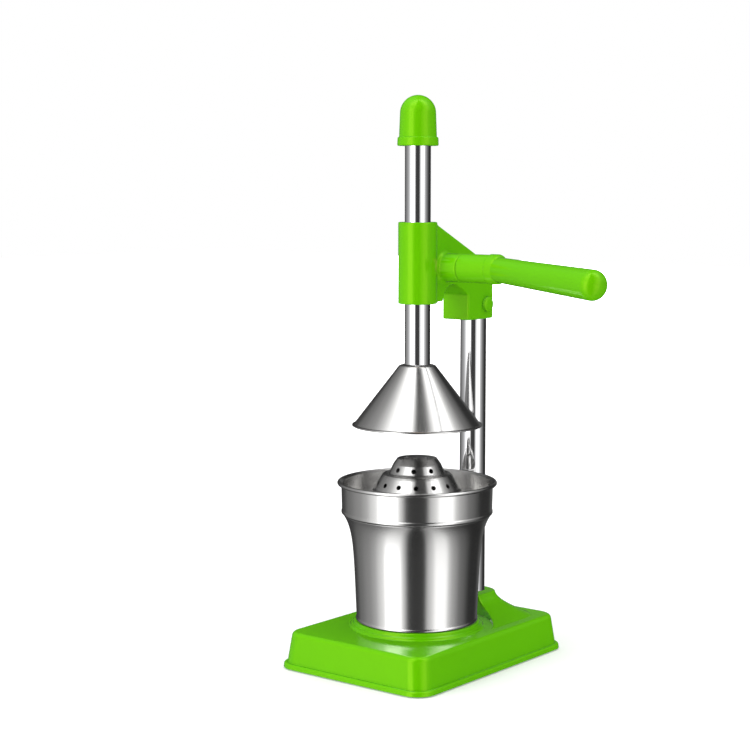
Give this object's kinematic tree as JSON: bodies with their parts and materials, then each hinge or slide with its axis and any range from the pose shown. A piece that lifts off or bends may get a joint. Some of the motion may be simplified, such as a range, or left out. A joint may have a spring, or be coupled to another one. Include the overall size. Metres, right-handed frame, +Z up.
{
  "type": "lever citrus press",
  "caption": "Bench citrus press: a side lever drives a rack-and-pinion ram and cone down onto a strainer in a metal juice cup.",
  "frame": {"origin": "centre of the cup seat on top of the base, on the ram's axis", "axes": "+Z up along the ram, -Y to the front, +Y towards the post, +X to the lever side"},
  "size_m": [0.2687, 0.2032, 0.4633],
  "materials": {
    "green_paint": "gloss green enamel on cast metal",
    "green_grip": "smooth moulded green grip",
    "chrome_tube": "polished",
    "brushed_sheet": "spun stainless sheet, brushed round",
    "steel_drive": "machined steel",
    "steel_fasteners": "zinc-plated steel",
    "bronze_bushes": "sintered bronze",
    "rubber_feet": "matt black"
  },
  "bodies": {
    "frame": {"base_shell": "green_paint", "foot_front_left": "rubber_feet", "foot_front_right": "rubber_feet", "foot_rear_left": "rubber_feet", "foot_rear_right": "rubber_feet", "post_tube": "chrome_tube", "post_plug": "steel_fasteners", "post_bolt": "steel_fasteners", "post_washer": "steel_fasteners", "head_casting": "green_paint", "clamp_screw": "green_paint", "guide_bush_lower": "bronze_bushes", "guide_bush_upper": "bronze_bushes", "bearing_plug": "green_paint", "axle_bush_left": "bronze_bushes", "axle_bush_right": "bronze_bushes", "thrust_washer": "bronze_bushes"},
    "lever": {"lever_hub": "green_paint", "hub_grub_screw": "steel_fasteners", "lever_rod": "steel_fasteners", "lever_grip": "green_grip", "pinion_shaft": "steel_drive", "pinion_gear": "steel_drive", "pinion_key": "steel_drive", "retaining_ring": "steel_drive"},
    "ram": {"ram_shaft": "chrome_tube", "ram_cap": "green_paint", "press_cone": "brushed_sheet", "cone_washer": "steel_fasteners", "cone_screw": "steel_fasteners"},
    "cup": {"juice_cup": "brushed_sheet"},
    "strainer": {"strainer": "brushed_sheet"}
  },
  "joints": [
    {"name": "lever_turn", "type": "hinge", "parent": "frame", "child": "lever", "pos_m": [0, 0.0197, 0.2898], "axis": [1, 0, 0], "range_deg": [-251.08, 308.12]},
    {"name": "ram_slide", "type": "slide", "parent": "frame", "child": "ram", "axis": [0, 0, -1], "range_m": [-0.0495, 0.0607]},
    {"name": "cup_slide", "type": "slide", "parent": "frame", "child": "cup", "axis": [0, -1, 0], "range_m": [0, 0.16]},
    {"name": "strainer_lift", "type": "slide", "parent": "cup", "child": "strainer", "axis": [0, 0, 1], "range_m": [0, 0.005]}
  ],
  "couplings": [
    {"joint": "ram_slide", "follows": "lever_turn", "m_per_rad": 0.01125}
  ]
}
